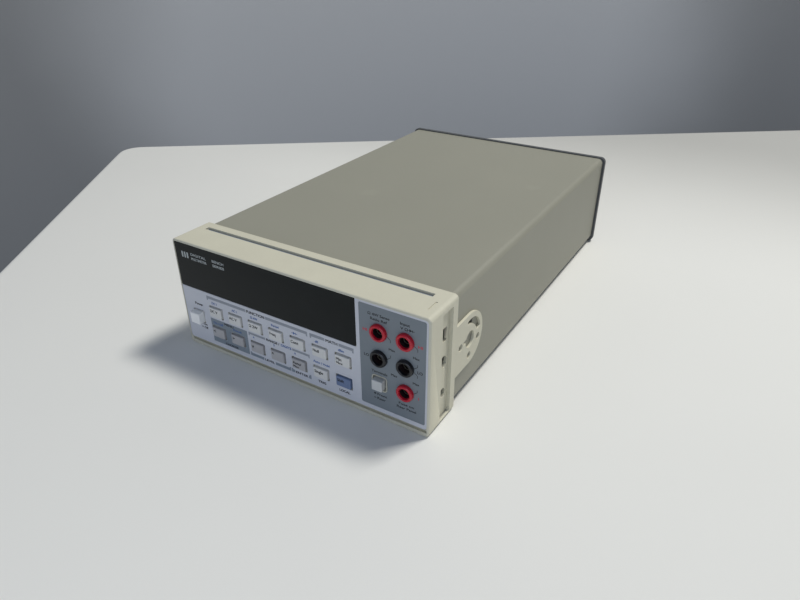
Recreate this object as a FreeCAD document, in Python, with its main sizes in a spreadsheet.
import FreeCAD, Part
import math
import os
import Sketcher

# A bench digital multimeter, half a rack wide and two units tall, in millimetres.
# +Z is up, +X is to the right of a person who faces the front panel, and +Y runs from the front to the rear.
# The origin is the centre of the base of the whole instrument, power button included.

# Driving dimensions. Depths are counted rearwards from the plane of the front rim.
SIZES = {
    # whole case
    "case_width": 212.6,
    "case_height": 88.5,
    "case_depth": 348.3,
    # moulded front frame
    "bezel_depth": 34.0,
    "bezel_corner": 3.0,
    "bezel_edge": 1.2,
    "side_wall": 4.5,
    "top_wall": 3.2,
    "front_wall": 3.5,
    "inner_corner": 2.0,
    "lap_depth": 2.8,
    "print_front": 0.3,
    "print_recess": 0.7,
    "print_margin": 1.5,
    "print_low": 5.8,
    "print_high": 86.9,
    "print_corner": 2.2,
    "print_gap": 0.1,
    "lip_groove_low": 3.5,
    "lip_groove_high": 5.7,
    "lip_groove_left": -102.8,
    "lip_groove_depth": 2.2,
    "top_slot_left": -97.0,
    "top_slot_right": 94.0,
    "top_slot_front": 23.4,
    "top_slot_rear": 27.3,
    "top_slot_depth": 1.8,
    "tick_x": 99.4,
    "tick_width": 1.3,
    "tick_front": 9.3,
    "tick_rear": 19.3,
    "tick_depth": 0.5,
    "channel_front": 14.7,
    "channel_rear": 28.0,
    "channel_low": 3.0,
    "channel_high": 83.5,
    "channel_depth": 2.5,
    "channel_corner": 1.0,
    "fixing_y": 21.4,
    "fixing_slot_width": 6.6,
    "fixing_slot_low": 60.3,
    "fixing_slot_high": 70.5,
    "fixing_large_z": 45.3,
    "fixing_large_radius": 4.35,
    "fixing_small_z": 20.9,
    "fixing_small_radius": 3.55,
    # handle ears beside the cabinet
    "ear_low": 25.4,
    "ear_radius": 19.7,
    "ear_centre": 53.4,
    "ear_gap": 0.05,
    "pivot_y": 54.1,
    "pivot_z": 44.8,
    "pivot_radius": 6.1,
    "keyway_y": 44.9,
    "keyway_z": 46.2,
    "keyway_height": 2.6,
    "detent_radius": 2.6,
    "detent_front_y": 40.6,
    "detent_front_z": 45.5,
    "detent_rear_y": 66.3,
    "detent_rear_z": 40.7,
    "detent_low_y": 53.8,
    "detent_low_z": 32.4,
    "arc_slot_radius": 15.7,
    "arc_slot_inner": 16.9,
    "arc_slot_inner_y": 48.5,
    "arc_slot_inner_z": 41.0,
    "arc_slot_start": 12.0,
    "arc_slot_stop": 107.0,
    # display
    "window_right": 53.0,
    "window_low": 51.1,
    "window_corner": 1.5,
    "window_thick": 1.6,
    "window_ledge": 3.2,
    "tube_left": -80.0,
    "tube_right": 42.0,
    "tube_low": 57.5,
    "tube_high": 82.0,
    "tube_front": 3.6,
    # keys
    "key_first_x": -72.5,
    "key_pitch": 19.05,
    "key_upper_z": 36.2,
    "key_lower_z": 18.9,
    "key_width": 12.0,
    "key_height": 8.2,
    "key_corner": 0.7,
    "key_edge": 0.5,
    "key_hole_gap": 0.7,
    "key_stand": 1.1,
    "key_flange": 1.3,
    "key_flange_thick": 0.8,
    "key_stop_gap": 0.2,
    "key_post_radius": 2.2,
    "key_post_end": 6.3,
    "mat_front": 7.5,
    "mat_thick": 1.2,
    "mat_collar_front": 5.8,
    "mat_collar_radius": 4.2,
    "mat_collar_bore": 2.7,
    "mat_margin": 9.0,
    "board_thick": 1.6,
    # power button, rod and switch
    "power_x": -91.4,
    "power_z": 28.0,
    "power_width": 9.1,
    "power_height": 9.2,
    "power_stand": 4.8,
    "power_hole_gap": 0.8,
    "power_cap_end": 12.0,
    "power_edge": 0.8,
    "rod_width": 3.2,
    "rod_height": 5.0,
    "rod_end": 240.0,
    "switch_front": 236.0,
    "switch_length": 26.0,
    "switch_width": 13.0,
    "switch_socket_depth": 10.0,
    "socket_gap": 0.4,
    # front and rear terminal selector
    "select_x": 70.0,
    "select_z": 29.3,
    "select_width": 7.7,
    "select_height": 7.8,
    "select_stand": 3.8,
    "select_hole_left": 64.9,
    "select_hole_right": 75.1,
    "select_hole_low": 24.0,
    "select_hole_high": 34.5,
    "select_hole_corner": 1.5,
    "select_collar": 0.55,
    "select_cap_end": 8.0,
    "select_edge": 0.6,
    "plunger_width": 3.0,
    "plunger_end": 16.0,
    "selector_front": 12.0,
    "selector_rear": 40.0,
    "selector_width": 14.0,
    "selector_socket_depth": 10.0,
    # terminal panel print
    "terminal_left": 55.8,
    "terminal_right": 103.2,
    "terminal_low": 9.2,
    "terminal_high": 85.3,
    "terminal_corner": 1.2,
    # shrouded 4 mm sockets
    "jack_sense_x": 70.2,
    "jack_pitch": 19.05,
    "jack_high_z": 67.8,
    "jack_flange_radius": 6.0,
    "jack_flange_chamfer": 0.6,
    "jack_stand": 2.75,
    "jack_barrel_radius": 4.9,
    "jack_barrel_end": 15.7,
    "jack_mouth_radius": 3.9,
    "jack_cavity_end": 12.0,
    "jack_hole_radius": 5.0,
    "contact_radius": 2.75,
    "contact_bore": 2.0,
    "contact_set_back": 4.5,
    "contact_bore_end": 12.25,
    "contact_end": 15.5,
    "contact_tail_radius": 1.3,
    "contact_tail_end": 22.0,
    "nut_radius": 7.4,
    "nut_thick": 3.0,
    "nut_bore": 4.95,
    # cabinet sleeve and tray
    "cover_half_width": 104.3,
    "cover_low": 3.5,
    "cover_high": 87.0,
    "cover_corner": 4.5,
    "cover_wall": 1.2,
    "cover_front": 31.3,
    "cover_rear": 343.0,
    "cover_gap": 0.2,
    "cover_hole_y": 55.5,
    "cover_hole_z": 57.5,
    "cover_hole_radius": 5.2,
    "tray_half_width": 101.0,
    "tray_low": 5.0,
    "tray_high": 48.0,
    "tray_wall": 1.2,
    "tray_front": 14.0,
    "standoff_radius": 3.0,
    "standoff_x": 88.0,
    "standoff_front_y": 56.0,
    "standoff_pitch": 122.0,
    "tab_front": 332.5,
    # rear panel and rear frame
    "panel_front": 336.8,
    "panel_thick": 1.5,
    "panel_half_width": 100.8,
    "panel_low": 6.0,
    "panel_high": 83.5,
    "rear_low": 0.8,
    "rear_high": 88.0,
    "rear_corner": 5.0,
    "rear_edge": 1.5,
    "rear_opening_half": 100.5,
    "rear_opening_low": 6.5,
    "rear_opening_high": 83.0,
    "rear_opening_corner": 3.0,
    "boss_width": 9.4,
    "boss_height": 9.5,
    "boss_depth": 3.7,
    "screw_x": 95.8,
    "screw_z": 11.2,
    "screw_radius": 1.5,
    "screw_hole": 1.7,
    "screw_head_radius": 3.0,
    "screw_head_thick": 2.0,
    "screw_length": 10.0,
    "screw_slot": 0.8,
    "foot_x": 78.0,
    "foot_width": 22.0,
    "foot_length": 4.2,
    "foot_thick": 1.8,
    "foot_set_back": 0.5,
    "overrun": 1.0,
    # rear connectors
    "rear_jack_x": 66.0,
    "fuse_x": 62.0,
    "fuse_z": 27.0,
    "fuse_flange_radius": 8.0,
    "fuse_flange_thick": 2.0,
    "fuse_barrel_radius": 6.4,
    "fuse_barrel_length": 34.0,
    "fuse_bore": 5.6,
    "fuse_stem_radius": 5.2,
    "fuse_stem_length": 8.0,
    "fuse_knob_radius": 6.6,
    "fuse_knob_thick": 5.0,
    "fuse_knob_gap": 0.2,
    "fuse_slot_width": 1.6,
    "fuse_slot_depth": 1.8,
    "cartridge_radius": 2.5,
    "cartridge_length": 20.0,
    "coax_x": 36.0,
    "coax_high_z": 62.0,
    "coax_low_z": 40.0,
    "coax_radius": 4.85,
    "coax_bore": 4.1,
    "coax_length": 10.0,
    "coax_core_radius": 1.9,
    "coax_core_length": 8.5,
    "coax_nut_radius": 7.0,
    "coax_nut_thick": 2.0,
    "coax_tail_radius": 4.7,
    "coax_tail_length": 9.0,
    "coax_lug_radius": 1.0,
    "coax_lug_reach": 5.5,
    "coax_lug_set_back": 2.5,
    "port_x": -8.0,
    "bus_z": 64.0,
    "bus_plate_width": 62.0,
    "bus_plate_height": 16.0,
    "bus_shell_width": 47.0,
    "bus_shell_height": 12.4,
    "bus_tongue_width": 38.0,
    "bus_tongue_height": 4.4,
    "bus_body_width": 44.0,
    "serial_z": 32.0,
    "serial_plate_width": 31.0,
    "serial_plate_height": 12.5,
    "serial_shell_width": 19.0,
    "serial_shell_height": 10.6,
    "serial_tongue_width": 15.6,
    "serial_tongue_height": 7.2,
    "port_plate_thick": 1.0,
    "port_shell_wall": 0.9,
    "port_shell_length": 6.0,
    "port_body_length": 12.0,
    "port_corner": 2.2,
    "stud_radius": 2.9,
    "stud_length": 6.0,
    "stud_bore": 1.3,
    "bus_stud_x": 27.2,
    "serial_stud_x": 12.5,
    "ground_x": 36.0,
    "ground_z": 18.0,
    # mains inlet with its fuse drawer
    "inlet_x": -72.0,
    "inlet_z": 39.0,
    "inlet_flange_width": 36.0,
    "inlet_flange_height": 54.0,
    "inlet_flange_thick": 2.5,
    "inlet_body_width": 30.0,
    "inlet_body_height": 50.0,
    "inlet_body_length": 26.0,
    "inlet_clear": 0.2,
    "inlet_recess_z": -11.8,
    "inlet_recess_width": 24.0,
    "inlet_recess_height": 16.4,
    "inlet_recess_depth": 16.0,
    "inlet_recess_corner": 3.0,
    "blade_width": 2.0,
    "blade_height": 4.0,
    "blade_pitch": 7.0,
    "blade_drop": 2.6,
    "blade_end": 3.0,
    "drawer_z": 14.0,
    "drawer_width": 18.0,
    "drawer_height": 13.0,
    "drawer_gap": 0.3,
    "drawer_length": 24.0,
    "drawer_plate_width": 24.0,
    "drawer_plate_height": 18.0,
    "drawer_plate_thick": 3.0,
    "drawer_well_width": 8.0,
    "drawer_well_height": 7.0,
    "drawer_well_front": 1.5,
    "drawer_well_rear": 22.0,
    # inside
    "main_board_low": 14.0,
    "main_board_front": 45.0,
    "main_board_rear": 308.0,
    "main_board_half": 96.0,
    "display_board_left": -84.0,
    "display_board_right": 54.0,
    "display_board_low": 8.5,
    "display_board_high": 84.0,
    "ribbon_x": 10.0,
    "ribbon_width": 30.0,
    "ribbon_thick": 0.8,
    "ribbon_top": 40.0,
    "ribbon_rear": 62.0,
    "core_x": -32.0,
    "core_y": 262.0,
    "core_width": 60.0,
    "core_length": 36.0,
    "core_height": 50.0,
    "core_leg": 20.0,
    "core_window_width": 10.0,
    "core_window_height": 30.0,
    "winding_length": 52.0,
    "winding_gap": 0.3,
    "capacitor_x": 25.0,
    "capacitor_y": 285.0,
    "capacitor_pitch": 22.0,
    "capacitor_radius": 9.0,
    "capacitor_height": 32.0,
    "sink_x": 48.0,
    "sink_y": 225.0,
    "sink_width": 50.0,
    "sink_height": 28.0,
    "sink_base": 3.0,
    "sink_fin": 1.4,
    "sink_fin_length": 14.0,
}

KEY_COUNT = 7
UPPER_KEYS = (
    "key_dc_volts",
    "key_ac_volts",
    "key_resistance",
    "key_frequency",
    "key_continuity",
    "key_null",
    "key_min_max",
)
LOWER_KEYS = (
    "key_cursor_left",
    "key_cursor_right",
    "key_range_down",
    "key_range_up",
    "key_auto_manual",
    "key_single_trigger",
    "key_shift",
)
SINK_FINS = 6
CAPACITORS = 3
STANDOFF_ROWS = 3
CLOSE = 0.001

Y_WARD = FreeCAD.Rotation(FreeCAD.Vector(1, 0, 0), -90)
X_WARD = FreeCAD.Rotation(FreeCAD.Vector(0, 1, 0), 90)
ABOUT = FreeCAD.Rotation(FreeCAD.Vector(0, 0, 1), 180)


class Size:
    """A length: its value now, and the expression that binds it to the sheet."""

    def __init__(self, value, text):
        self.value = value
        self.text = text

    def __add__(self, other):
        other = size(other)
        return Size(self.value + other.value, f"({self.text} + {other.text})")

    def __radd__(self, other):
        return size(other) + self

    def __sub__(self, other):
        other = size(other)
        return Size(self.value - other.value, f"({self.text} - {other.text})")

    def __rsub__(self, other):
        return size(other) - self

    def __mul__(self, other):
        other = size(other)
        return Size(self.value * other.value, f"({self.text} * {other.text})")

    def __rmul__(self, other):
        return size(other) * self

    def __truediv__(self, other):
        other = size(other)
        return Size(self.value / other.value, f"({self.text} / {other.text})")

    def __neg__(self):
        return Size(-self.value, f"(0 - {self.text})")


def size(value):
    """A plain number as a Size, and a Size as it is."""
    return value if isinstance(value, Size) else Size(float(value), f"({float(value):.4f})")


class Sheet:
    """The spreadsheet of driving dimensions, whose aliases read as attributes."""

    def __init__(self, document):
        self.cells = document.addObject("Spreadsheet::Sheet", "Sizes")
        for row, (name, value) in enumerate(SIZES.items(), start=1):
            self.cells.set(f"A{row}", name)
            self.cells.set(f"B{row}", str(value))
            self.cells.setAlias(f"B{row}", name)

    def __getattr__(self, name):
        return Size(SIZES[name], f"Sizes.{name}")


doc = FreeCAD.newDocument("Multimeter")
S = Sheet(doc)
doc.recompute()
FACE = (S.power_stand - S.case_depth) / 2
kept = []


def keep(thing):
    """Count an object as a sub-part of the hand-in."""
    kept.append(thing)
    return thing


def place(thing, x, y, z, turn=None):
    """Turn an object, and bind where it stands to the sheet; y is a depth behind the front rim."""
    if turn:
        thing.Placement = FreeCAD.Placement(FreeCAD.Vector(), turn)
    for axis, value in (("x", x), ("y", FACE + y), ("z", z)):
        thing.setExpression(f"Placement.Base.{axis}", size(value).text)


def block(label, x, y, z):
    """A box between two planes each way: x, y and z are pairs of low and high."""
    box = doc.addObject("Part::Box", label)
    box.Label = label
    for side, (low, high) in (("Length", x), ("Width", y), ("Height", z)):
        box.setExpression(side, (size(high) - low).text)
    place(box, x[0], y[0], z[0])
    return box


def rod(label, radius, x, y, z, length, turn=None):
    """A cylinder that starts at x, y, z and runs up, or along Y or X as turned."""
    cylinder = doc.addObject("Part::Cylinder", label)
    cylinder.Label = label
    cylinder.setExpression("Radius", size(radius).text)
    cylinder.setExpression("Height", size(length).text)
    place(cylinder, x, y, z, turn)
    return cylinder


def hexagon(label, radius, x, y, z, length, turn=None):
    """A six-sided prism over corner radius."""
    prism = doc.addObject("Part::Prism", label)
    prism.Label = label
    prism.Polygon = 6
    prism.setExpression("Circumradius", size(radius).text)
    prism.setExpression("Height", size(length).text)
    place(prism, x, y, z, turn)
    return prism


def join(label, *pieces):
    """Several solids as one."""
    union = doc.addObject("Part::MultiFuse", label)
    union.Label = label
    union.Shapes = list(pieces)
    return union


def cut(label, base, *tools):
    """A solid less its tools."""
    tool = tools[0] if len(tools) == 1 else join(f"{label}_tools", *tools)
    difference = doc.addObject("Part::Cut", label)
    difference.Label = label
    difference.Base = base
    difference.Tool = tool
    return difference


def group(label, *pieces):
    """Separate like pieces in one node."""
    compound = doc.addObject("Part::Compound", label)
    compound.Label = label
    compound.Links = list(pieces)
    return compound


class Outline:
    """A sketch on one of a body's origin planes, every size of it bound to the sheet."""

    def __init__(self, body, role, offset):
        self.sketch = body.newObject("Sketcher::SketchObject", "Outline")
        plane = next(item for item in body.Origin.OriginFeatures if item.Role == role)
        self.sketch.AttachmentSupport = [(plane, "")]
        self.sketch.MapMode = "FlatFace"
        self.sketch.setExpression("AttachmentOffset.Base.z", size(offset).text)

    def fix(self, kind, value, *where):
        """Add a distance or a radius and bind it."""
        value = size(value)
        index = self.sketch.addConstraint(Sketcher.Constraint(kind, *where, value.value))
        name = f"fixed_{index}"
        self.sketch.renameConstraint(index, name)
        self.sketch.setExpression(f"Constraints.{name}", value.text)

    def pin(self, geometry, point, x, y):
        """Hold one point of an element at x, y from the body's origin."""
        self.fix("DistanceX", x, -1, 1, geometry, point)
        self.fix("DistanceY", y, -1, 1, geometry, point)

    def circle(self, x, y, radius):
        """A circle about x, y."""
        x, y, radius = size(x), size(y), size(radius)
        centre = FreeCAD.Vector(x.value, y.value, 0)
        drawn = Part.Circle(centre, FreeCAD.Vector(0, 0, 1), radius.value)
        index = self.sketch.addGeometry(drawn)
        self.pin(index, 3, x, y)
        self.fix("Radius", radius, index)
        return self

    def polygon(self, *points):
        """A closed outline of straight lines through the points."""
        points = [(size(x), size(y)) for x, y in points]
        corners = [FreeCAD.Vector(x.value, y.value, 0) for x, y in points]
        count = len(corners)
        lines = [Part.LineSegment(corners[i], corners[(i + 1) % count]) for i in range(count)]
        first = self.sketch.addGeometry(lines)[0]
        for i, (x, y) in enumerate(points):
            after = first + (i - 1) % count
            self.sketch.addConstraint(Sketcher.Constraint("Coincident", after, 2, first + i, 1))
            self.pin(first + i, 1, x, y)
        return self

    def rectangle(self, x, y, corner=None):
        """A rectangle between the pairs x and y, with rounded corners where a radius is given."""
        left, right = size(x[0]), size(x[1])
        low, high = size(y[0]), size(y[1])
        if corner is None:
            return self.polygon((left, low), (right, low), (right, high), (left, high))
        corner = size(corner)
        r = corner.value
        x0, x1, y0, y1 = left.value, right.value, low.value, high.value
        sides = (
            ((x0 + r, y0), (x1 - r, y0)),
            ((x1, y0 + r), (x1, y1 - r)),
            ((x1 - r, y1), (x0 + r, y1)),
            ((x0, y1 - r), (x0, y0 + r)),
        )
        centres = ((x1 - r, y0 + r), (x1 - r, y1 - r), (x0 + r, y1 - r), (x0 + r, y0 + r))
        up = FreeCAD.Vector(0, 0, 1)
        drawn = []
        for i, (side, centre) in enumerate(zip(sides, centres)):
            drawn.append(Part.LineSegment(*(FreeCAD.Vector(*point, 0) for point in side)))
            ring = Part.Circle(FreeCAD.Vector(*centre, 0), up, r)
            start = (i - 1) * math.pi / 2
            drawn.append(Part.ArcOfCircle(ring, start, start + math.pi / 2))
        first = self.sketch.addGeometry(drawn)[0]
        rules = []
        for i in range(8):
            rules.append(Sketcher.Constraint("Tangent", first + i, 2, first + (i + 1) % 8, 1))
        for line, rule in ((0, "Horizontal"), (2, "Vertical"), (4, "Horizontal"), (6, "Vertical")):
            rules.append(Sketcher.Constraint(rule, first + line))
        for arc in (3, 5, 7):
            rules.append(Sketcher.Constraint("Equal", first + 1, first + arc))
        self.sketch.addConstraint(rules)
        self.fix("Radius", corner, first + 1)
        self.fix("DistanceY", low, -1, 1, first, 1)
        self.fix("DistanceX", right, -1, 1, first + 2, 1)
        self.fix("DistanceY", high, -1, 1, first + 4, 1)
        self.fix("DistanceX", left, -1, 1, first + 6, 1)
        return self


class Moulding:
    """A PartDesign body, built feature by feature."""

    def __init__(self, label, x=0, y=0, z=0, turn=None):
        self.body = doc.addObject("PartDesign::Body", label)
        self.body.Label = label
        place(self.body, x, y, z, turn)

    def across(self, depth=0):
        """A sketch across the depth: its axes are X and Z, at a depth behind the body's origin."""
        return Outline(self.body, "XZ_Plane", -size(depth))

    def level(self, height=0):
        """A level sketch: its axes are X and Y."""
        return Outline(self.body, "XY_Plane", height)

    def beside(self, x=0):
        """A sketch along the side: its axes are Y and Z."""
        return Outline(self.body, "YZ_Plane", x)

    def feature(self, kind, outline, length, reverse):
        """A pad or a pocket of a sketch."""
        made = self.body.newObject(f"PartDesign::{kind}", kind)
        made.Profile = outline.sketch
        made.setExpression("Length", size(length).text)
        made.Reversed = reverse
        return made

    def pad(self, outline, length, reverse=True):
        """Material rearwards from a sketch across the depth, or the sketch's own way if not reversed."""
        return self.feature("Pad", outline, length, reverse)

    def pocket(self, outline, length, reverse=False):
        """A hollow rearwards from a sketch across the depth, or the other way if reversed."""
        return self.feature("Pocket", outline, length, reverse)

    def revolve(self, outline):
        """A full turn of a level sketch about the Y axis."""
        made = self.body.newObject("PartDesign::Revolution", "Revolution")
        made.Profile = outline.sketch
        made.ReferenceAxis = (outline.sketch, ["V_Axis"])
        return made

    def row(self, original, outline, spacing, count):
        """Repeat a feature along the X axis of its sketch."""
        made = self.body.newObject("PartDesign::LinearPattern", "Row")
        made.Originals = [original]
        made.Direction = (outline.sketch, ["H_Axis"])
        made.Mode = "Spacing"
        made.setExpression("Offset", size(spacing).text)
        made.Occurrences = count
        self.body.Tip = made
        return made

    def soften(self, radius, chosen):
        """Round the edges that the test chooses."""
        doc.recompute()
        tip = self.body.Tip
        names = [f"Edge{i}" for i, edge in enumerate(tip.Shape.Edges, start=1) if chosen(edge)]
        made = self.body.newObject("PartDesign::Fillet", "Rounding")
        made.Base = (tip, names)
        made.setExpression("Radius", size(radius).text)
        return made


def lies_at(depth):
    """A test for edges that lie in the plane at a depth of the body."""

    def test(edge):
        box = edge.BoundBox
        return abs(box.YMin - depth) < CLOSE and abs(box.YMax - depth) < CLOSE

    return test


def centred(centre, width):
    """A pair of low and high about a centre."""
    half = size(width) / 2
    return centre - half, centre + half


def key_hole(outline, z):
    """The outline of the first key hole of a row."""
    gap = 2 * S.key_hole_gap
    x = centred(S.key_first_x, S.key_width + gap)
    return outline.rectangle(x, centred(z, S.key_height + gap), S.key_corner)


def key_holes(moulding, depth, length):
    """Both rows of key holes, sunk from a depth."""
    for z in (S.key_upper_z, S.key_lower_z):
        outline = key_hole(moulding.across(depth), z)
        hole = moulding.pocket(outline, length)
        moulding.row(hole, outline, S.key_pitch, KEY_COUNT)


def power_hole(outline):
    """The outline of the power button's hole."""
    gap = 2 * S.power_hole_gap
    x = centred(S.power_x, S.power_width + gap)
    return outline.rectangle(x, centred(S.power_z, S.power_height + gap), S.key_corner)


def select_hole(outline, grow=0):
    """The outline of the selector button's hole, or of one that much larger all round."""
    x = (S.select_hole_left - grow, S.select_hole_right + grow)
    z = (S.select_hole_low - grow, S.select_hole_high + grow)
    return outline.rectangle(x, z, S.select_hole_corner + grow)


INPUT_X = S.jack_sense_x + S.jack_pitch
MIDDLE_Z = S.jack_high_z - S.jack_pitch
LOWER_Z = MIDDLE_Z - S.jack_pitch
JACKS = (
    ("sense_high_jack", S.jack_sense_x, S.jack_high_z),
    ("sense_low_jack", S.jack_sense_x, MIDDLE_Z),
    ("input_high_jack", INPUT_X, S.jack_high_z),
    ("input_low_jack", INPUT_X, MIDDLE_Z),
    ("current_jack", INPUT_X, LOWER_Z),
)
PRINT_HALF = S.case_width / 2 - S.print_margin
PRINT_THICK = S.print_recess - S.print_front


def jack_holes(outline):
    """One hole for each front jack."""
    for _, x, z in JACKS:
        outline.circle(x, z, S.jack_hole_radius)
    return outline


def front_bezel():
    """The moulded front frame: a shallow box with a front wall, all its holes and the side channels."""
    bezel = Moulding("front_bezel")
    half = S.case_width / 2
    outer = bezel.across().rectangle((-half, half), (0, S.case_height), S.bezel_corner)
    bezel.pad(outer, S.bezel_depth)
    bezel.soften(S.bezel_edge, lies_at(0))
    inner = half - S.side_wall
    walls = (S.top_wall, S.case_height - S.top_wall)
    hollow = bezel.across(S.bezel_depth).rectangle((-inner, inner), walls, S.inner_corner)
    bezel.pocket(hollow, S.bezel_depth - S.front_wall, reverse=True)
    lap_half = S.cover_half_width + S.cover_gap
    lap_z = (S.cover_low - S.cover_gap, S.cover_high + S.cover_gap)
    lap = bezel.across(S.bezel_depth).rectangle((-lap_half, lap_half), lap_z, S.cover_corner)
    bezel.pocket(lap, S.lap_depth, reverse=True)
    prints = bezel.across().rectangle((-PRINT_HALF, PRINT_HALF), (S.print_low, S.print_high), S.print_corner)
    bezel.pocket(prints, S.print_recess)
    collar = select_hole(bezel.across(S.print_recess), S.select_collar)
    bezel.pad(collar, S.print_recess, reverse=False)
    bezel.pocket(select_hole(bezel.across()), S.front_wall)
    pane = bezel.across().rectangle(
        (-PRINT_HALF, S.window_right), (S.window_low, S.print_high), S.window_corner
    )
    bezel.pocket(pane, S.print_front + S.window_thick)
    ledge = S.window_ledge
    opening = bezel.across().rectangle(
        (ledge - PRINT_HALF, S.window_right - ledge),
        (S.window_low + ledge, S.print_high - ledge),
        S.window_corner,
    )
    bezel.pocket(opening, S.front_wall)
    groove = bezel.across().rectangle(
        (S.lip_groove_left, PRINT_HALF), (S.lip_groove_low, S.lip_groove_high)
    )
    bezel.pocket(groove, S.lip_groove_depth)
    key_holes(bezel, 0, S.front_wall)
    bezel.pocket(power_hole(bezel.across()), S.front_wall)
    bezel.pocket(jack_holes(bezel.across()), S.front_wall)
    top_slot = bezel.level(S.case_height).rectangle(
        (S.top_slot_left, S.top_slot_right), (S.top_slot_front, S.top_slot_rear)
    )
    bezel.pocket(top_slot, S.top_slot_depth)
    tick = bezel.level(S.case_height).rectangle(
        centred(S.tick_x, S.tick_width), (S.tick_front, S.tick_rear)
    )
    bezel.pocket(tick, S.tick_depth)
    for side in (1, -1):
        inward = side < 0
        channel = bezel.beside(side * half).rectangle(
            (S.channel_front, S.channel_rear), (S.channel_low, S.channel_high), S.channel_corner
        )
        bezel.pocket(channel, S.channel_depth, reverse=inward)
        fixings = bezel.beside(side * half)
        slot_y = centred(S.fixing_y, S.fixing_slot_width)
        fixings.rectangle(slot_y, (S.fixing_slot_low, S.fixing_slot_high), S.channel_corner)
        fixings.circle(S.fixing_y, S.fixing_large_z, S.fixing_large_radius)
        fixings.circle(S.fixing_y, S.fixing_small_z, S.fixing_small_radius)
        bezel.pocket(fixings, S.side_wall, reverse=inward)
    return keep(bezel.body)


def arc_slot_point(angle):
    """Where a ray from the pivot at an angle meets the inner arc of the curved slot."""
    pivot = FreeCAD.Vector(S.pivot_y.value, S.pivot_z.value, 0)
    shift = pivot - FreeCAD.Vector(S.arc_slot_inner_y.value, S.arc_slot_inner_z.value, 0)
    ray = FreeCAD.Vector(math.cos(angle), math.sin(angle), 0)
    along = ray.dot(shift)
    reach = math.sqrt(along**2 - shift.Length**2 + S.arc_slot_inner.value**2) - along
    return pivot + ray * reach


def arc_slot(outline):
    """The curved slot over the pivot, between two arcs about different centres and two radial ends."""
    up = FreeCAD.Vector(0, 0, 1)
    pivot = FreeCAD.Vector(S.pivot_y.value, S.pivot_z.value, 0)
    inner = FreeCAD.Vector(S.arc_slot_inner_y.value, S.arc_slot_inner_z.value, 0)
    ends = (math.radians(S.arc_slot_start.value), math.radians(S.arc_slot_stop.value))
    low, high = (arc_slot_point(angle) for angle in ends)
    far = Part.ArcOfCircle(Part.Circle(pivot, up, S.arc_slot_radius.value), *ends)
    angles = [math.atan2((p - inner).y, (p - inner).x) for p in (low, high)]
    near = Part.ArcOfCircle(Part.Circle(inner, up, S.arc_slot_inner.value), *angles)
    closing = [Part.LineSegment(far.EndPoint, high), Part.LineSegment(low, far.StartPoint)]
    first = outline.sketch.addGeometry([far, near] + closing)[0]
    for pair in ((0, 2, 2, 1), (2, 2, 1, 2), (1, 1, 3, 1), (3, 2, 0, 1)):
        a, a_end, b, b_end = pair
        rule = Sketcher.Constraint("Coincident", first + a, a_end, first + b, b_end)
        outline.sketch.addConstraint(rule)
    outline.pin(first, 3, S.pivot_y, S.pivot_z)
    outline.pin(first + 1, 3, S.arc_slot_inner_y, S.arc_slot_inner_z)
    outline.fix("Radius", S.arc_slot_radius, first)
    outline.fix("Radius", S.arc_slot_inner, first + 1)


def handle_ear(label, side):
    """The flat ear beside the cabinet that a carrying handle turns on."""
    ear = Moulding(label)
    half = S.case_width / 2
    thick = half - S.cover_half_width - S.ear_gap
    profile = ear.beside(side * half)
    low, high = S.ear_low, S.ear_low + 2 * S.ear_radius
    middle = S.ear_low + S.ear_radius
    start, centre = S.bezel_depth, S.ear_centre
    corners = [
        FreeCAD.Vector(y.value, z.value, 0)
        for y, z in ((centre, high), (start, high), (start, low), (centre, low))
    ]
    ring = Part.Circle(
        FreeCAD.Vector(centre.value, middle.value, 0), FreeCAD.Vector(0, 0, 1), S.ear_radius.value
    )
    lines = [Part.LineSegment(corners[i], corners[i + 1]) for i in range(3)]
    nose = Part.ArcOfCircle(ring, -math.pi / 2, math.pi / 2)
    profile.sketch.addGeometry(lines + [nose])
    for pair in ((0, 2, 1, 1), (1, 2, 2, 1), (2, 2, 3, 1), (3, 2, 0, 1)):
        profile.sketch.addConstraint(Sketcher.Constraint("Coincident", *pair))
    profile.pin(1, 1, start, high)
    profile.pin(1, 2, start, low)
    profile.pin(3, 1, centre, low)
    profile.pin(3, 2, centre, high)
    profile.fix("DistanceX", centre, -1, 1, 3, 3)
    ear.pad(profile, thick, reverse=side > 0)
    inward = side < 0
    holes = ear.beside(side * half)
    holes.circle(S.pivot_y, S.pivot_z, S.pivot_radius)
    holes.circle(S.detent_front_y, S.detent_front_z, S.detent_radius)
    holes.circle(S.detent_rear_y, S.detent_rear_z, S.detent_radius)
    holes.circle(S.detent_low_y, S.detent_low_z, S.detent_radius)
    arc_slot(holes)
    ear.pocket(holes, thick, reverse=inward)
    keyway = ear.beside(side * half).rectangle(
        (S.keyway_y, S.pivot_y), centred(S.keyway_z, S.keyway_height)
    )
    ear.pocket(keyway, thick, reverse=inward)
    return keep(ear.body)


def front_overlay():
    """The printed sheet over the front wall, cut out for the window, the keys and the terminal print."""
    sheet = Moulding("front_overlay", y=S.print_front)
    gap = S.print_gap
    outer = sheet.across().rectangle(
        (gap - PRINT_HALF, PRINT_HALF - gap), (S.print_low + gap, S.print_high - gap), S.print_corner
    )
    sheet.pad(outer, PRINT_THICK)
    beyond = S.case_width / 2
    window = sheet.across().rectangle(
        (-beyond, S.window_right + gap), (S.window_low - gap, S.case_height)
    )
    sheet.pocket(window, PRINT_THICK)
    terminals = sheet.across().rectangle(
        (S.terminal_left - gap, S.terminal_right + gap),
        (S.terminal_low - gap, S.terminal_high + gap),
        S.terminal_corner,
    )
    sheet.pocket(terminals, PRINT_THICK)
    key_holes(sheet, 0, PRINT_THICK)
    sheet.pocket(power_hole(sheet.across()), PRINT_THICK)
    return keep(sheet.body)


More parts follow.
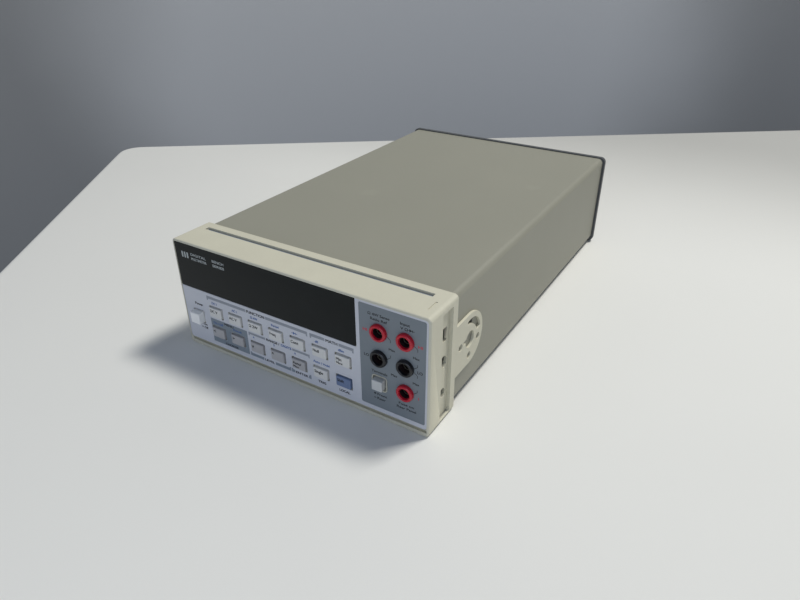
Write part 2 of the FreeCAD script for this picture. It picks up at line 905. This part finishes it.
def terminal_overlay():
    """The printed sheet round the input terminals."""
    sheet = Moulding("terminal_overlay", y=S.print_front)
    outer = sheet.across().rectangle(
        (S.terminal_left, S.terminal_right), (S.terminal_low, S.terminal_high), S.terminal_corner
    )
    sheet.pad(outer, PRINT_THICK)
    sheet.pocket(jack_holes(sheet.across()), PRINT_THICK)
    sheet.pocket(select_hole(sheet.across(), S.select_collar + S.print_gap), PRINT_THICK)
    return keep(sheet.body)


def display_window():
    """The smoked pane, seated on a ledge of the bezel."""
    pane = Moulding("display_window", y=S.print_front)
    gap = S.print_gap
    outer = pane.across().rectangle(
        (gap - PRINT_HALF, S.window_right - gap),
        (S.window_low + gap, S.print_high - gap),
        S.window_corner,
    )
    pane.pad(outer, S.window_thick)
    return keep(pane.body)


def display_tube():
    """The flat glass display behind the window."""
    depth = (S.tube_front, S.mat_front + S.mat_thick)
    return keep(block("display_tube", (S.tube_left, S.tube_right), depth, (S.tube_low, S.tube_high)))


def key_mat():
    """The rubber mat behind the keys, with a soft collar round each key's post."""
    mat = Moulding("key_mat", y=S.mat_front)
    left = S.key_first_x - S.mat_margin
    right = S.key_first_x + (KEY_COUNT - 1) * S.key_pitch + S.mat_margin
    z = (S.key_lower_z - S.mat_margin, S.key_upper_z + S.mat_margin)
    mat.pad(mat.across().rectangle((left, right), z, S.inner_corner), S.mat_thick)
    length = S.mat_front - S.mat_collar_front
    for row_z in (S.key_upper_z, S.key_lower_z):
        outline = mat.across()
        outline.circle(S.key_first_x, row_z, S.mat_collar_radius)
        outline.circle(S.key_first_x, row_z, S.mat_collar_bore)
        collar = mat.pad(outline, length, reverse=False)
        mat.row(collar, outline, S.key_pitch, KEY_COUNT)
    return keep(mat.body)


def key(label, x, z):
    """A key cap with its retaining flange and its post."""
    cap = Moulding(label, x, -S.key_stand, z)
    face = cap.across().rectangle(centred(0, S.key_width), centred(0, S.key_height), S.key_corner)
    flange_front = S.key_stand + S.front_wall + S.key_stop_gap
    cap.pad(face, flange_front)
    cap.soften(S.key_edge, lies_at(0))
    wide = S.key_width + 2 * S.key_flange
    tall = S.key_height + 2 * S.key_flange
    flange = cap.across(flange_front).rectangle(centred(0, wide), centred(0, tall))
    cap.pad(flange, S.key_flange_thick)
    post = cap.across(flange_front).circle(0, 0, S.key_post_radius)
    cap.pad(post, S.key_post_end + S.key_stand - flange_front)
    return keep(cap.body)


def power_button():
    """The power button's cap, which the rod carries."""
    cap = Moulding("power_button", S.power_x, -S.power_stand, S.power_z)
    width, height = centred(0, S.power_width), centred(0, S.power_height)
    cap.pad(cap.across().rectangle(width, height, S.key_corner), S.power_stand + S.power_cap_end)
    cap.soften(S.power_edge, lies_at(0))
    keep(cap.body)
    keep(
        block(
            "power_rod",
            centred(S.power_x, S.rod_width),
            (S.power_cap_end, S.rod_end),
            centred(S.power_z, S.rod_height),
        )
    )


def switch(label, x, z, width, front, rear, stem_width, stem_height, socket_depth):
    """A push switch body, open at the front for the stem that works it."""
    board_top = S.main_board_low + S.board_thick
    top = z + stem_height / 2 + S.rod_height
    base = block(label + "_body", centred(x, width), (front, rear), (board_top, top))
    clear = 2 * S.socket_gap
    socket = block(
        label + "_socket",
        centred(x, stem_width + clear),
        (front, front + socket_depth),
        centred(z, stem_height + clear),
    )
    return keep(cut(label, base, socket))


def select_button():
    """The terminal selector's cap and plunger, one moulding."""
    cap = Moulding("input_select_button", S.select_x, S.print_front - S.select_stand, S.select_z)
    face = cap.across().rectangle(centred(0, S.select_width), centred(0, S.select_height), S.key_corner)
    length = S.select_cap_end + S.select_stand - S.print_front
    cap.pad(face, length)
    cap.soften(S.select_edge, lies_at(0))
    side = centred(0, S.plunger_width)
    cap.pad(cap.across(length).rectangle(side, side), S.plunger_end - S.select_cap_end)
    return keep(cap.body)


def jack(label, x, y, z, turn=None):
    """A shrouded 4 mm socket's coloured shell; its flange seats at y."""
    shell = Moulding(label, x, y, z, turn)
    chamfer = S.jack_flange_chamfer
    flange, barrel, mouth = S.jack_flange_radius, S.jack_barrel_radius, S.jack_mouth_radius
    front, rear, floor = -S.jack_stand, S.jack_barrel_end, S.jack_cavity_end
    profile = shell.level().polygon(
        (mouth + chamfer, front),
        (flange - chamfer, front),
        (flange, front + chamfer),
        (flange, 0),
        (barrel, 0),
        (barrel, rear),
        (S.contact_radius, rear),
        (S.contact_radius, floor),
        (mouth, floor),
        (mouth, front + chamfer),
    )
    shell.revolve(profile)
    return shell.body


def contact(label, x, y, z, turn=None):
    """The turned metal contact in a jack, with a 4 mm bore and a solder tail."""
    pin = Moulding(label, x, y, z, turn)
    front = S.contact_set_back - S.jack_stand
    profile = pin.level().polygon(
        (S.contact_bore, front),
        (S.contact_radius, front),
        (S.contact_radius, S.contact_end),
        (S.contact_tail_radius, S.contact_end),
        (S.contact_tail_radius, S.contact_tail_end),
        (0, S.contact_tail_end),
        (0, S.contact_bore_end),
        (S.contact_bore, S.contact_bore_end),
    )
    pin.revolve(profile)
    return pin.body


def nut(label, x, y, z):
    """A hexagon nut behind a jack."""
    blank = hexagon(label + "_blank", S.nut_radius, x, y, z, S.nut_thick, Y_WARD)
    bore = rod(label + "_bore", S.nut_bore, x, y, z, S.nut_thick, Y_WARD)
    return cut(label, blank, bore)


PANEL_REAR = S.panel_front + S.panel_thick
REAR_SHIFT = S.rear_jack_x - S.jack_sense_x


def jacks():
    """The jacks at the front and the rear, their contacts and their nuts."""
    contacts, nuts, reds, blacks = [], [], [], []
    for label, x, z in JACKS:
        keep(jack(label, x, S.print_front, z))
        contacts.append(contact(f"{label}_contact", x, S.print_front, z))
        nuts.append(nut(f"{label}_nut", x, S.front_wall, z))
        rear = f"rear_{label}"
        rear_x = x + REAR_SHIFT
        colour = blacks if "low" in label else reds
        colour.append(jack(rear, rear_x, PANEL_REAR, z, ABOUT))
        contacts.append(contact(f"{rear}_contact", rear_x, PANEL_REAR, z, ABOUT))
        nuts.append(nut(f"{rear}_nut", rear_x, S.panel_front - S.nut_thick, z))
    keep(group("jack_sockets", *contacts))
    keep(group("jack_nuts", *nuts))
    keep(group("rear_red_jacks", *reds))
    keep(group("rear_black_jacks", *blacks))


def boards():
    """The display board, the main board and the flat cable between them."""
    front = S.mat_front + S.mat_thick
    rear = front + S.board_thick
    keep(
        block(
            "display_board",
            (S.display_board_left, S.display_board_right),
            (front, rear),
            (S.display_board_low, S.display_board_high),
        )
    )
    board_top = S.main_board_low + S.board_thick
    keep(
        block(
            "main_board",
            (-S.main_board_half, S.main_board_half),
            (S.main_board_front, S.main_board_rear),
            (S.main_board_low, board_top),
        )
    )
    thick, low = S.ribbon_thick, board_top
    cable = Moulding("ribbon_cable")
    profile = cable.beside(S.ribbon_x).polygon(
        (rear, low),
        (S.ribbon_rear, low),
        (S.ribbon_rear, low + thick),
        (rear + thick, low + thick),
        (rear + thick, S.ribbon_top),
        (rear, S.ribbon_top),
    )
    cable.pad(profile, S.ribbon_width, reverse=False)
    keep(cable.body)


def cabinet_cover():
    """The painted sleeve: a rounded tube that laps into the bezel and is pierced behind each ear."""
    sleeve = Moulding("cabinet_cover", y=S.cover_front)
    half, wall = S.cover_half_width, S.cover_wall
    outline = sleeve.across().rectangle((-half, half), (S.cover_low, S.cover_high), S.cover_corner)
    outline.rectangle(
        (wall - half, half - wall), (S.cover_low + wall, S.cover_high - wall), S.cover_corner - wall
    )
    sleeve.pad(outline, S.cover_rear - S.cover_front)
    for side in (1, -1):
        hole = sleeve.beside(side * half)
        hole.circle(S.cover_hole_y - S.cover_front, S.cover_hole_z, S.cover_hole_radius)
        sleeve.pocket(hole, wall, reverse=side < 0)
    return keep(sleeve.body)


def chassis_tray():
    """The folded tray that carries the main board, with its standoffs and the rear screw tabs."""
    half, wall, low = S.tray_half_width, S.tray_wall, S.tray_low
    tray = Moulding("chassis_tray", y=S.tray_front)
    profile = tray.across().polygon(
        (-half, low),
        (half, low),
        (half, S.tray_high),
        (half - wall, S.tray_high),
        (half - wall, low + wall),
        (wall - half, low + wall),
        (wall - half, S.tray_high),
        (-half, S.tray_high),
    )
    tray.pad(profile, S.panel_front - S.tray_front)
    floor = low + wall
    for step in range(STANDOFF_ROWS):
        y = S.standoff_front_y + step * S.standoff_pitch - S.tray_front
        posts = tray.level(floor)
        posts.circle(-S.standoff_x, y, S.standoff_radius)
        posts.circle(S.standoff_x, y, S.standoff_radius)
        tray.pad(posts, S.main_board_low - floor, reverse=False)
    tab_top = S.rear_opening_low + S.boss_height
    tab_half = S.rear_opening_half - S.boss_width
    for side, span in ((1, (tab_half, half - wall)), (-1, (wall - half, -tab_half))):
        tab = tray.across(S.tab_front - S.tray_front)
        tab.rectangle(span, (floor, tab_top))
        tab.circle(side * S.screw_x, S.screw_z, S.screw_radius)
        tray.pad(tab, S.panel_front - S.tab_front)
    return keep(tray.body)


def rear_panel():
    """The rear panel sheet with a hole for each connector."""
    sheet = Moulding("rear_panel", y=S.panel_front)
    half = S.panel_half_width
    outline = sheet.across().rectangle((-half, half), (S.panel_low, S.panel_high), S.inner_corner)
    for _, x, z in JACKS:
        outline.circle(x + REAR_SHIFT, z, S.jack_hole_radius)
    outline.circle(S.fuse_x, S.fuse_z, S.fuse_barrel_radius)
    for z in (S.coax_high_z, S.coax_low_z):
        outline.circle(S.coax_x, z, S.coax_tail_radius)
    for z, width, height in (
        (S.bus_z, S.bus_body_width, S.bus_shell_height),
        (S.serial_z, S.serial_shell_width, S.serial_shell_height),
    ):
        outline.rectangle(centred(S.port_x, width), centred(z, height))
    clear = 2 * S.inlet_clear
    outline.rectangle(
        centred(S.inlet_x, S.inlet_body_width + clear), centred(S.inlet_z, S.inlet_body_height + clear)
    )
    outline.circle(S.ground_x, S.ground_z, S.screw_hole)
    for side in (1, -1):
        outline.circle(side * S.screw_x, S.screw_z, S.screw_hole)
    sheet.pad(outline, S.panel_thick)
    return keep(sheet.body)


def rear_bezel():
    """The dark rear frame, whose lip enters the sleeve and clamps the rear panel."""
    frame = Moulding("rear_bezel", y=PANEL_REAR)
    half = S.case_width / 2
    step = S.cover_rear - PANEL_REAR
    length = S.case_depth - PANEL_REAR
    outer = frame.across(step).rectangle((-half, half), (S.rear_low, S.rear_high), S.rear_corner)
    frame.pad(outer, length - step)
    frame.soften(S.rear_edge, lies_at(length.value))
    inset = S.cover_wall + S.cover_gap
    lip_half = S.cover_half_width - inset
    lip = frame.across().rectangle(
        (-lip_half, lip_half), (S.cover_low + inset, S.cover_high - inset), S.cover_corner - inset
    )
    frame.pad(lip, step)
    opening_half = S.rear_opening_half
    opening = frame.across().rectangle(
        (-opening_half, opening_half), (S.rear_opening_low, S.rear_opening_high), S.rear_opening_corner
    )
    frame.pocket(opening, length)
    top = S.rear_opening_low + S.boss_height
    bosses = frame.across()
    boss_z = (S.rear_opening_low - S.overrun, top)
    boss_inner, boss_outer = opening_half - S.boss_width, opening_half + CLOSE
    bosses.rectangle((boss_inner, boss_outer), boss_z)
    bosses.rectangle((-boss_outer, -boss_inner), boss_z)
    frame.pad(bosses, S.boss_depth)
    holes = frame.across()
    for side in (1, -1):
        holes.circle(side * S.screw_x, S.screw_z, S.screw_hole)
    frame.pocket(holes, S.boss_depth)
    seat_z = (S.rear_low - S.overrun, S.foot_thick)
    seats = frame.across(length - S.foot_set_back - S.foot_length)
    for side in (1, -1):
        seats.rectangle(centred(side * S.foot_x, S.foot_width), seat_z)
    frame.pocket(seats, S.foot_length)
    return keep(frame.body)


def feet():
    """Two rubber pads let into the underside of the rear frame."""
    rear = S.case_depth - S.foot_set_back
    pads = [
        block(
            f"foot_{name}",
            centred(side * S.foot_x, S.foot_width),
            (rear - S.foot_length, rear),
            (0, S.foot_thick),
        )
        for name, side in (("right", 1), ("left", -1))
    ]
    return keep(group("rear_feet", *pads))


def screw(label, x, seat, z, length):
    """A slotted pan-head screw whose head sits at a depth and whose shank runs forwards."""
    shank = rod(label + "_shank", S.screw_radius, x, seat - length, z, length, Y_WARD)
    head = rod(label + "_head", S.screw_head_radius, x, seat, z, S.screw_head_thick, Y_WARD)
    wide = 2 * S.screw_head_radius
    half_deep = S.screw_head_thick / 2
    slot = block(
        label + "_slot",
        centred(x, wide),
        (seat + half_deep, seat + S.screw_head_thick),
        centred(z, S.screw_slot),
    )
    return cut(label, join(label + "_blank", shank, head), slot)


def case_screws():
    """The two screws of the rear frame and the earth screw of the rear panel."""
    seat = PANEL_REAR + S.boss_depth
    return keep(
        group(
            "case_screws",
            screw("screw_right", S.screw_x, seat, S.screw_z, S.screw_length),
            screw("screw_left", -S.screw_x, seat, S.screw_z, S.screw_length),
            screw("screw_earth", S.ground_x, PANEL_REAR, S.ground_z, S.screw_length),
        )
    )


def coax_connector(label, z):
    """A bayonet coaxial connector: barrel, centre insulator, hexagon flange and two lugs."""
    x, base = S.coax_x, PANEL_REAR
    barrel = rod(label + "_barrel", S.coax_radius, x, base, z, S.coax_length, Y_WARD)
    bore_start = base + S.coax_nut_thick
    bore_length = S.coax_length - S.coax_nut_thick
    bore = rod(label + "_bore", S.coax_bore, x, bore_start, z, bore_length, Y_WARD)
    tube = cut(label + "_tube", barrel, bore)
    core = rod(label + "_core", S.coax_core_radius, x, base, z, S.coax_core_length, Y_WARD)
    hexed = hexagon(label + "_hex", S.coax_nut_radius, x, base, z, S.coax_nut_thick, Y_WARD)
    tail_length = S.coax_tail_length
    tail = rod(label + "_tail", S.coax_tail_radius, x, base - tail_length, z, tail_length, Y_WARD)
    lug_y = base + S.coax_length - S.coax_lug_set_back
    inner = (S.coax_radius + S.coax_bore) / 2
    lug_length = S.coax_lug_reach - inner
    lugs = [
        rod(label + "_lug_right", S.coax_lug_radius, x + inner, lug_y, z, lug_length, X_WARD),
        rod(label + "_lug_left", S.coax_lug_radius, x - S.coax_lug_reach, lug_y, z, lug_length, X_WARD),
    ]
    return join(label, tube, core, hexed, tail, *lugs)


def port(label, z, plate, shell, tongue, body_width):
    """A rear data connector: plate, open metal shell, inner tongue and the moulded body behind the panel."""
    made = Moulding(label, S.port_x, PANEL_REAR, z)
    made.pad(
        made.across().rectangle(centred(0, plate[0]), centred(0, plate[1]), S.port_corner),
        S.port_plate_thick,
    )
    wall = 2 * S.port_shell_wall
    ring = made.across(S.port_plate_thick)
    ring.rectangle(centred(0, shell[0]), centred(0, shell[1]), S.port_corner + S.port_shell_wall)
    ring.rectangle(centred(0, shell[0] - wall), centred(0, shell[1] - wall), S.port_corner)
    made.pad(ring, S.port_shell_length - S.port_plate_thick)
    core = made.across(S.port_plate_thick).rectangle(centred(0, tongue[0]), centred(0, tongue[1]))
    made.pad(core, S.port_shell_length - S.port_plate_thick - S.port_shell_wall)
    inside = made.across().rectangle(
        centred(0, body_width - S.port_shell_wall), centred(0, shell[1] - S.port_shell_wall)
    )
    made.pad(inside, S.port_body_length, reverse=False)
    return keep(made.body)


def rear_ports():
    """The instrument bus port, the serial port and the threaded studs beside them."""
    port(
        "bus_connector",
        S.bus_z,
        (S.bus_plate_width, S.bus_plate_height),
        (S.bus_shell_width, S.bus_shell_height),
        (S.bus_tongue_width, S.bus_tongue_height),
        S.bus_body_width,
    )
    port(
        "serial_connector",
        S.serial_z,
        (S.serial_plate_width, S.serial_plate_height),
        (S.serial_shell_width, S.serial_shell_height),
        (S.serial_tongue_width, S.serial_tongue_height),
        S.serial_shell_width,
    )
    studs = []
    base = PANEL_REAR + S.port_plate_thick
    for name, reach, z in (("bus", S.bus_stud_x, S.bus_z), ("serial", S.serial_stud_x, S.serial_z)):
        for hand, side in (("right", 1), ("left", -1)):
            label = f"{name}_stud_{hand}"
            x = S.port_x + side * reach
            blank = hexagon(label + "_blank", S.stud_radius, x, base, z, S.stud_length, Y_WARD)
            bore = rod(label + "_bore", S.stud_bore, x, base, z, S.stud_length, Y_WARD)
            studs.append(cut(label, blank, bore))
    keep(group("connector_studs", *studs))


def mains_inlet():
    """The mains inlet, its blades, and the drawer that holds the line fuse."""
    x, z, base = S.inlet_x, S.inlet_z, PANEL_REAR
    inlet = Moulding("ac_inlet", x, base, z)
    flange = inlet.across().rectangle(
        centred(0, S.inlet_flange_width), centred(0, S.inlet_flange_height), S.inlet_recess_corner
    )
    inlet.pad(flange, S.inlet_flange_thick)
    core = inlet.across().rectangle(centred(0, S.inlet_body_width), centred(0, S.inlet_body_height))
    inlet.pad(core, S.inlet_body_length, reverse=False)
    recess = inlet.across(S.inlet_flange_thick).rectangle(
        centred(0, S.inlet_recess_width),
        centred(S.inlet_recess_z, S.inlet_recess_height),
        S.inlet_recess_corner,
    )
    inlet.pocket(recess, S.inlet_recess_depth, reverse=True)
    gap = 2 * S.drawer_gap
    well = inlet.across(S.inlet_flange_thick).rectangle(
        centred(0, S.drawer_width + gap), centred(S.drawer_z, S.drawer_height + gap)
    )
    inlet.pocket(well, S.drawer_length + S.inlet_flange_thick + S.drawer_gap, reverse=True)
    keep(inlet.body)
    blades = []
    recess_z = z + S.inlet_recess_z
    low, high = recess_z - S.blade_drop, recess_z + S.blade_drop
    for name, blade_x, blade_z in (
        ("line", x - S.blade_pitch, low),
        ("neutral", x + S.blade_pitch, low),
        ("earth", x, high),
    ):
        depth = (base - S.inlet_recess_depth + S.inlet_flange_thick, base - S.blade_end)
        blades.append(
            block(f"blade_{name}", centred(blade_x, S.blade_width), depth, centred(blade_z, S.blade_height))
        )
    keep(group("ac_inlet_pins", *blades))
    drawer_z = z + S.drawer_z
    mouth = base + S.inlet_flange_thick + S.drawer_gap
    plate = block(
        "drawer_plate",
        centred(x, S.drawer_plate_width),
        (mouth, mouth + S.drawer_plate_thick),
        centred(drawer_z, S.drawer_plate_height),
    )
    carrier = block(
        "drawer_carrier",
        centred(x, S.drawer_width),
        (base - S.drawer_length, mouth),
        centred(drawer_z, S.drawer_height),
    )
    hollow = block(
        "drawer_hollow",
        centred(x, S.drawer_well_width),
        (base - S.drawer_well_rear, base - S.drawer_well_front),
        (drawer_z - S.drawer_well_height / 2, drawer_z + S.drawer_height),
    )
    keep(cut("fuse_drawer", join("drawer_solid", plate, carrier), hollow))
    slack = (S.drawer_well_rear - S.drawer_well_front - S.cartridge_length) / 2
    start = base - S.drawer_well_rear + slack
    keep(rod("line_fuse", S.cartridge_radius, x, start, drawer_z, S.cartridge_length, Y_WARD))


def current_fuse():
    """The fuse holder of the current input: barrel, bayonet cap and the cartridge that the cap carries."""
    x, z, base = S.fuse_x, S.fuse_z, PANEL_REAR
    flange_end = S.fuse_flange_thick
    holder = Moulding("current_fuse_holder", x, base, z)
    profile = holder.level().polygon(
        (S.fuse_bore, flange_end),
        (S.fuse_flange_radius, flange_end),
        (S.fuse_flange_radius, 0),
        (S.fuse_barrel_radius, 0),
        (S.fuse_barrel_radius, -S.fuse_barrel_length),
        (0, -S.fuse_barrel_length),
        (0, S.panel_thick - S.fuse_barrel_length),
        (S.fuse_bore, S.panel_thick - S.fuse_barrel_length),
    )
    holder.revolve(profile)
    keep(holder.body)
    knob_start = flange_end + S.fuse_knob_gap
    knob_end = knob_start + S.fuse_knob_thick
    cap = Moulding("current_fuse_cap", x, base, z)
    profile = cap.level().polygon(
        (0, knob_start - S.fuse_stem_length),
        (S.fuse_stem_radius, knob_start - S.fuse_stem_length),
        (S.fuse_stem_radius, knob_start),
        (S.fuse_knob_radius, knob_start),
        (S.fuse_knob_radius, knob_end - S.key_corner),
        (S.fuse_knob_radius - S.key_corner, knob_end),
        (0, knob_end),
    )
    cap.revolve(profile)
    reach = S.fuse_knob_radius
    slot = cap.across(knob_end).rectangle((-reach, reach), centred(0, S.fuse_slot_width))
    cap.pocket(slot, S.fuse_slot_depth, reverse=True)
    keep(cap.body)
    start = base + knob_start - S.fuse_stem_length - S.cartridge_length
    keep(rod("current_fuse", S.cartridge_radius, x, start, z, S.cartridge_length, Y_WARD))


def transformer():
    """The mains transformer: a two-window core and the winding round its middle leg."""
    floor = S.main_board_low + S.board_thick
    x, y = S.core_x, S.core_y
    depth = centred(y, S.core_length)
    solid = block("core_solid", centred(x, S.core_width), depth, (floor, floor + S.core_height))
    yoke = (S.core_height - S.core_window_height) / 2
    window_z = (floor + yoke, floor + yoke + S.core_window_height)
    reach = (S.core_leg + S.core_window_width) / 2
    windows = [
        block(f"core_window_{hand}", centred(x + side * reach, S.core_window_width), depth, window_z)
        for hand, side in (("right", 1), ("left", -1))
    ]
    keep(cut("transformer_core", solid, *windows))
    gap = S.winding_gap
    wide = S.core_leg + 2 * S.core_window_width - 2 * gap
    coil_z = (window_z[0] + gap, window_z[1] - gap)
    coil = block("coil_solid", centred(x, wide), centred(y, S.winding_length), coil_z)
    leg = block("coil_leg", centred(x, S.core_leg + 2 * gap), centred(y, S.core_length + 2 * gap), coil_z)
    keep(cut("transformer_winding", coil, leg))


def power_parts():
    """The reservoir capacitors and the finned heat sink of the supply."""
    floor = S.main_board_low + S.board_thick
    cans = [
        rod(
            f"capacitor_{i + 1}",
            S.capacitor_radius,
            S.capacitor_x + i * S.capacitor_pitch,
            S.capacitor_y,
            floor,
            S.capacitor_height,
        )
        for i in range(CAPACITORS)
    ]
    keep(group("capacitors", *cans))
    y = S.sink_y
    top = floor + S.sink_height
    base = block("sink_base", centred(S.sink_x, S.sink_width), (y, y + S.sink_base), (floor, top))
    step = (S.sink_width - S.sink_fin) / (SINK_FINS - 1)
    left = S.sink_x - S.sink_width / 2
    fins = [
        block(
            f"sink_fin_{i + 1}",
            (left + i * step, left + i * step + S.sink_fin),
            (y + S.sink_base, y + S.sink_base + S.sink_fin_length),
            (floor, top),
        )
        for i in range(SINK_FINS)
    ]
    keep(join("heat_sink", base, *fins))


def build():
    """Make every sub-part."""
    front_bezel()
    handle_ear("right_handle_ear", 1)
    handle_ear("left_handle_ear", -1)
    front_overlay()
    terminal_overlay()
    display_window()
    display_tube()
    key_mat()
    for labels, z in ((UPPER_KEYS, S.key_upper_z), (LOWER_KEYS, S.key_lower_z)):
        for i, label in enumerate(labels):
            key(label, S.key_first_x + i * S.key_pitch, z)
    power_button()
    switch(
        "power_switch",
        S.power_x,
        S.power_z,
        S.switch_width,
        S.switch_front,
        S.switch_front + S.switch_length,
        S.rod_width,
        S.rod_height,
        S.switch_socket_depth,
    )
    select_button()
    switch(
        "input_select_switch",
        S.select_x,
        S.select_z,
        S.selector_width,
        S.selector_front,
        S.selector_rear,
        S.plunger_width,
        S.plunger_width,
        S.selector_socket_depth,
    )
    jacks()
    boards()
    cabinet_cover()
    chassis_tray()
    rear_panel()
    rear_bezel()
    feet()
    case_screws()
    connectors = [
        coax_connector("coax_high", S.coax_high_z),
        coax_connector("coax_low", S.coax_low_z),
    ]
    keep(group("coax_connectors", *connectors))
    rear_ports()
    mains_inlet()
    current_fuse()
    transformer()
    power_parts()


def check_and_write():
    """Stop on a failed object or a bad shape, then write one file for each sub-part."""
    doc.recompute()
    for item in doc.Objects:
        if "Invalid" in item.State or "Error" in item.State:
            raise RuntimeError(f"{item.Label} failed: {item.State}")
    for part in kept:
        if part.Shape.isNull() or not part.Shape.isValid() or not part.Shape.Solids:
            raise RuntimeError(f"{part.Label} has no valid solid")
    os.makedirs("parts", exist_ok=True)
    for part in kept:
        part.Shape.exportStep(f"parts/{part.Label}.step")
    print(f"{len(kept)} sub-parts written")


build()
check_and_write()
